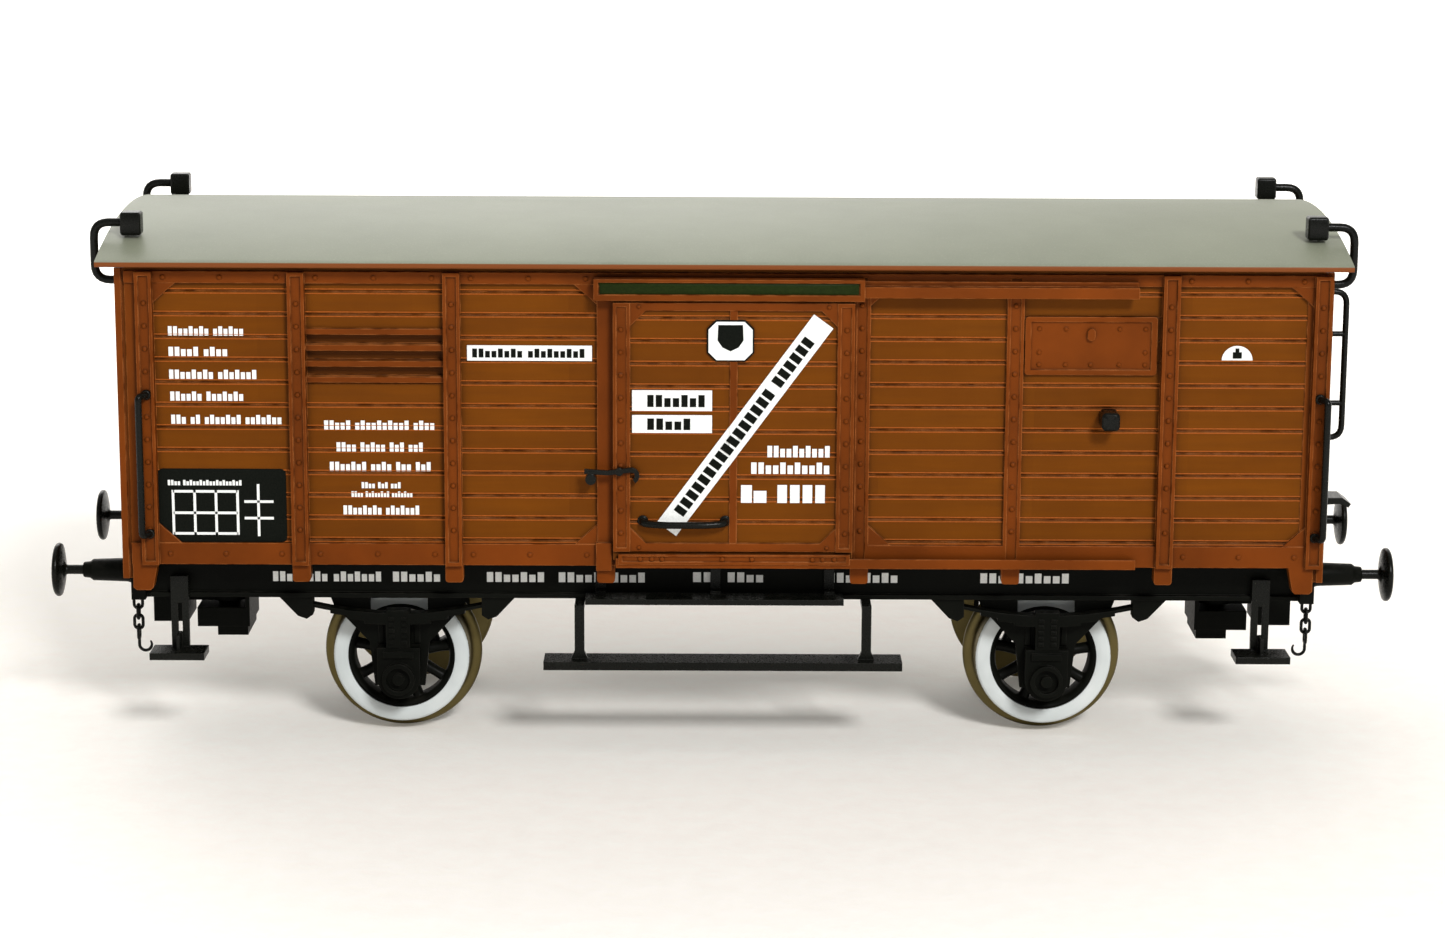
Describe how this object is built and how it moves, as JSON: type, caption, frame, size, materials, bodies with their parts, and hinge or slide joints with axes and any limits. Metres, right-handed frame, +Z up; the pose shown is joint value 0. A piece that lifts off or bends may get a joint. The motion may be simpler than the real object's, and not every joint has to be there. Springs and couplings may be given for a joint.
{
  "type": "model box car",
  "caption": "Two-axle covered goods wagon with sliding doors, spoked wheels, sprung buffers and swinging coupler pockets.",
  "frame": {"origin": "bottom centre of the wagon, at the foot of the wheel flanges", "axes": "+X along the wagon, +Y across it, +Z up; the near side, which the picture shows, faces -Y"},
  "size_m": [0.1068, 0.037, 0.0426],
  "materials": {
    "body_paint": "satin oxide brown, moulded plank by plank",
    "door_paint": "satin oxide brown",
    "track_paint": "satin red-brown",
    "roof_paint": "satin light grey",
    "floor_plastic": "matt board brown",
    "chassis_plastic": "satin near-black",
    "fitting_plastic": "glossy black",
    "wheel_plastic": "satin black",
    "tyre_steel": "turned and blackened, face ring painted white",
    "axle_steel": "turned",
    "bearing_brass": "turned",
    "buffer_metal": "satin near-black with a bare rim",
    "spring_steel": "drawn wire",
    "steel_plate": "plain sheet",
    "screw_steel": "slotted head"
  },
  "bodies": {
    "wagon": {"body_shell": "body_paint", "roof": "roof_paint", "ballast_plate": "steel_plate", "floor_board": "floor_plastic", "underframe": "chassis_plastic", "frame_screws": "screw_steel", "axle_guards_a": "chassis_plastic", "axle_guards_b": "chassis_plastic", "axle_boxes_a": "chassis_plastic", "axle_boxes_b": "chassis_plastic", "leaf_springs_a": "chassis_plastic", "leaf_springs_b": "chassis_plastic", "bearing_cups": "bearing_brass", "spring_brackets": "chassis_plastic", "buffer_sleeves": "chassis_plastic", "draw_hooks": "fitting_plastic", "coupler_mounts": "chassis_plastic", "coupler_covers": "chassis_plastic", "chain_eyes": "fitting_plastic", "corner_steps": "fitting_plastic", "door_step_near": "fitting_plastic", "door_step_far": "fitting_plastic", "upper_steps": "fitting_plastic", "corner_handles": "fitting_plastic", "lamp_brackets": "fitting_plastic", "end_handrail": "fitting_plastic", "end_step": "fitting_plastic", "door_track_near": "track_paint", "door_track_far": "track_paint", "door_stops": "fitting_plastic", "vent_hatches": "body_paint", "buffer_spring_near_left": "spring_steel", "buffer_spring_near_right": "spring_steel", "buffer_spring_far_left": "spring_steel", "buffer_spring_far_right": "spring_steel"},
    "wheelset_a": {"axle_a": "axle_steel", "tyres_a": "tyre_steel", "wheel_centres_a": "wheel_plastic"},
    "wheelset_b": {"axle_b": "axle_steel", "tyres_b": "tyre_steel", "wheel_centres_b": "wheel_plastic"},
    "near_door": {"door_near": "door_paint", "door_handle_near": "fitting_plastic", "door_latch_near": "fitting_plastic"},
    "far_door": {"door_far": "door_paint", "door_handle_far": "fitting_plastic", "door_latch_far": "fitting_plastic"},
    "buffer_near_left": {"buffer_head_near_left": "buffer_metal"},
    "buffer_near_right": {"buffer_head_near_right": "buffer_metal"},
    "buffer_far_left": {"buffer_head_far_left": "buffer_metal"},
    "buffer_far_right": {"buffer_head_far_right": "buffer_metal"},
    "left_coupler": {"coupler_pocket_left": "chassis_plastic"},
    "right_coupler": {"coupler_pocket_right": "chassis_plastic"},
    "chain_near_left": {"safety_chain_near_left": "fitting_plastic"},
    "chain_near_right": {"safety_chain_near_right": "fitting_plastic"},
    "chain_far_left": {"safety_chain_far_left": "fitting_plastic"},
    "chain_far_right": {"safety_chain_far_right": "fitting_plastic"}
  },
  "joints": [
    {"name": "wheelset_a_spin", "type": "hinge", "parent": "wagon", "child": "wheelset_a", "pos_m": [-0.02586, 0, 0.00635], "axis": [0, 1, 0], "continuous": true},
    {"name": "wheelset_b_spin", "type": "hinge", "parent": "wagon", "child": "wheelset_b", "pos_m": [0.02586, 0, 0.00635], "axis": [0, 1, 0], "continuous": true},
    {"name": "near_door_slide", "type": "slide", "parent": "wagon", "child": "near_door", "axis": [1, 0, 0], "range_m": [0, 0.0189]},
    {"name": "far_door_slide", "type": "slide", "parent": "wagon", "child": "far_door", "axis": [-1, 0, 0], "range_m": [0, 0.0189]},
    {"name": "buffer_near_left_press", "type": "slide", "parent": "wagon", "child": "buffer_near_left", "axis": [1, 0, 0], "range_m": [0, 0.0009], "stiffness_N_per_m": 150, "deforming": ["buffer_spring_near_left"]},
    {"name": "buffer_near_right_press", "type": "slide", "parent": "wagon", "child": "buffer_near_right", "axis": [-1, 0, 0], "range_m": [0, 0.0009], "stiffness_N_per_m": 150, "deforming": ["buffer_spring_near_right"]},
    {"name": "buffer_far_left_press", "type": "slide", "parent": "wagon", "child": "buffer_far_left", "axis": [1, 0, 0], "range_m": [0, 0.0009], "stiffness_N_per_m": 150, "deforming": ["buffer_spring_far_left"]},
    {"name": "buffer_far_right_press", "type": "slide", "parent": "wagon", "child": "buffer_far_right", "axis": [-1, 0, 0], "range_m": [0, 0.0009], "stiffness_N_per_m": 150, "deforming": ["buffer_spring_far_right"]},
    {"name": "left_coupler_swing", "type": "hinge", "parent": "wagon", "child": "left_coupler", "pos_m": [-0.041, 0, 0.0094], "axis": [0, 0, 1], "range_deg": [-12, 12]},
    {"name": "right_coupler_swing", "type": "hinge", "parent": "wagon", "child": "right_coupler", "pos_m": [0.041, 0, 0.0094], "axis": [0, 0, 1], "range_deg": [-12, 12]},
    {"name": "chain_near_left_swing", "type": "hinge", "parent": "wagon", "child": "chain_near_left", "pos_m": [-0.04745, -0.007, 0.01031], "axis": [0, 1, 0], "range_deg": [-10, 35]},
    {"name": "chain_near_right_swing", "type": "hinge", "parent": "wagon", "child": "chain_near_right", "pos_m": [0.04745, -0.007, 0.01031], "axis": [0, -1, 0], "range_deg": [-10, 35]},
    {"name": "chain_far_left_swing", "type": "hinge", "parent": "wagon", "child": "chain_far_left", "pos_m": [-0.04745, 0.007, 0.01031], "axis": [0, 1, 0], "range_deg": [-10, 35]},
    {"name": "chain_far_right_swing", "type": "hinge", "parent": "wagon", "child": "chain_far_right", "pos_m": [0.04745, 0.007, 0.01031], "axis": [0, -1, 0], "range_deg": [-10, 35]}
  ]
}
